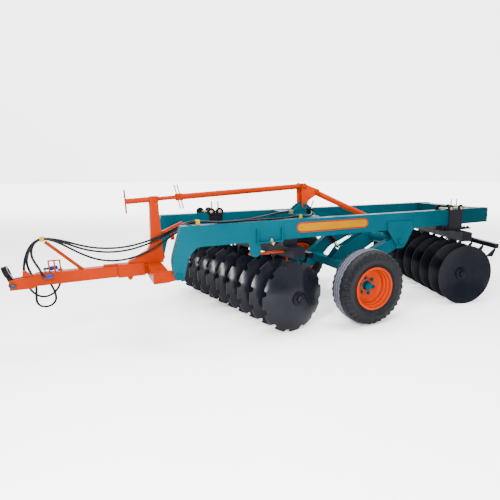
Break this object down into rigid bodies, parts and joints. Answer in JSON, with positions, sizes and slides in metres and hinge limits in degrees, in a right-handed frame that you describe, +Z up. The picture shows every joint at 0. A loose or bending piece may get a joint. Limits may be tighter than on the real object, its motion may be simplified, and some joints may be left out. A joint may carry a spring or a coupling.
{
  "type": "offset disc harrow",
  "caption": "Trailed offset disc harrow on two transport wheels: notched front gang, plain rear gang, levelling linkage, lift cylinder and hinged drawbar with a folding tow eye.",
  "frame": {"origin": "middle of the footprint, on the floor that the wheels and discs stand on", "axes": "+X forward to the hitch, +Y to the left, +Z up"},
  "size_m": [5.2236, 2.4852, 1.3814],
  "materials": {
    "teal": "gloss paint",
    "orange": "gloss paint",
    "yellow": "gloss paint",
    "dark": "satin dark paint",
    "black": "gloss black paint",
    "disc": "gloss black over rolled steel",
    "steel": "zinc plated",
    "chrome": "hard chrome",
    "tyre": "ribbed tread",
    "hose": "satin rubber",
    "blue": "moulded cap"
  },
  "bodies": {
    "frame": {"rail_left": "teal", "rail_right": "teal", "rear_beam": "teal", "mid_beam": "teal", "tower": "teal", "pivot_brackets": "teal", "front_gang_beam": "dark", "rear_gang_beam": "dark", "front_hangers": "dark", "rear_hangers": "dark", "front_scraper_bar": "orange", "rear_scraper_bar": "dark", "front_scrapers": "dark", "rear_scrapers": "dark", "rail_clamps": "dark", "clamp_bolts": "steel", "beam_seats": "dark", "angle_bracket": "teal", "slot_plate": "orange", "hinge_pins": "teal", "badge": "yellow", "hose_clips": "yellow", "valve": "black", "hose_fittings": "steel", "hose_rail_a": "hose", "hose_rail_b": "hose"},
    "drawbar": {"drawbar_yoke": "orange", "drawbar_tongue": "orange", "hitch_bolt": "steel", "mast": "orange", "hose_support": "orange", "coupler_holder": "orange", "couplers": "steel", "coupler_caps": "blue", "support_clip": "yellow", "hose_guide": "orange", "hose_a": "hose", "hose_b": "hose", "hose_c": "hose"},
    "tow_eye": {"tow_eye": "black"},
    "axle": {"axle_arms": "teal", "axle_pivot_tube": "teal", "axle_cross_tube": "teal"},
    "wheel_left": {"tyre_left": "tyre", "rim_left": "orange", "hub_left": "teal"},
    "wheel_right": {"tyre_right": "tyre", "rim_right": "orange", "hub_right": "teal"},
    "rocker": {"rocker": "orange"},
    "front_rod": {"front_rod": "orange", "rod_screw": "orange"},
    "rear_strut": {"rear_strut": "orange"},
    "cylinder_barrel": {"cylinder_barrel": "black"},
    "cylinder_rod": {"cylinder_rod": "chrome"},
    "front_gang": {"front_discs": "disc", "front_shaft": "dark"},
    "rear_gang": {"rear_discs": "disc", "rear_shaft": "dark"}
  },
  "joints": [
    {"name": "axle_lift", "type": "hinge", "parent": "frame", "child": "axle", "pos_m": [-0.96211, 0.23692, 0.745], "axis": [0, 1, 0], "range_deg": [-8, 18]},
    {"name": "wheel_left_spin", "type": "hinge", "parent": "axle", "child": "wheel_left", "pos_m": [-0.37211, 1.04892, 0.379], "axis": [0, 1, 0], "continuous": true},
    {"name": "wheel_right_spin", "type": "hinge", "parent": "axle", "child": "wheel_right", "pos_m": [-0.37211, -0.57508, 0.379], "axis": [0, 1, 0], "continuous": true},
    {"name": "rocker_turn", "type": "hinge", "parent": "frame", "child": "rocker", "pos_m": [-0.05211, 0.23692, 1.14], "axis": [0, 1, 0], "range_deg": [-8.2, 18.2]},
    {"name": "drawbar_turn", "type": "hinge", "parent": "frame", "child": "drawbar", "pos_m": [1.37089, 0.23692, 0.65], "axis": [0, 1, 0], "range_deg": [-2.86, 6.19]},
    {"name": "front_rod_swivel", "type": "hinge", "parent": "rocker", "child": "front_rod", "pos_m": [-0.04711, 0.23692, 1.343], "axis": [0, 1, 0], "range_deg": [-18.16, 8.18]},
    {"name": "rear_strut_swivel", "type": "hinge", "parent": "rocker", "child": "rear_strut", "pos_m": [-0.20211, 0.23692, 1.28], "axis": [0, 1, 0], "range_deg": [-18.2, 8.2]},
    {"name": "cylinder_swivel", "type": "hinge", "parent": "frame", "child": "cylinder_barrel", "pos_m": [-0.10011, 0.23692, 1.102], "axis": [0, 1, 0], "range_deg": [-3.69, 1.75]},
    {"name": "cylinder_slide", "type": "slide", "parent": "cylinder_barrel", "child": "cylinder_rod", "axis": [-0.6683, 0, -0.7439], "range_m": [-0.0597, 0.1317]},
    {"name": "tow_eye_fold", "type": "hinge", "parent": "drawbar", "child": "tow_eye", "pos_m": [2.54989, 0.23692, 0.606], "axis": [0, 1, 0], "range_deg": [0, 74]},
    {"name": "front_gang_spin", "type": "hinge", "parent": "frame", "child": "front_gang", "pos_m": [0.37789, 0.87992, 0.34], "axis": [-0.1959, 0.9806, 0], "continuous": true},
    {"name": "rear_gang_spin", "type": "hinge", "parent": "frame", "child": "rear_gang", "pos_m": [-1.68111, 1.12092, 0.34], "axis": [0.2622, 0.965, 0], "continuous": true}
  ],
  "couplings": [
    {"joint": "rocker_turn", "follows": "axle_lift", "ratio": 1},
    {"joint": "drawbar_turn", "follows": "axle_lift", "ratio": 0.333},
    {"joint": "front_rod_swivel", "follows": "axle_lift", "ratio": -0.998},
    {"joint": "rear_strut_swivel", "follows": "axle_lift", "ratio": -1},
    {"joint": "cylinder_swivel", "follows": "axle_lift", "ratio": -0.194},
    {"joint": "cylinder_slide", "follows": "axle_lift", "m_per_rad": 0.413}
  ]
}
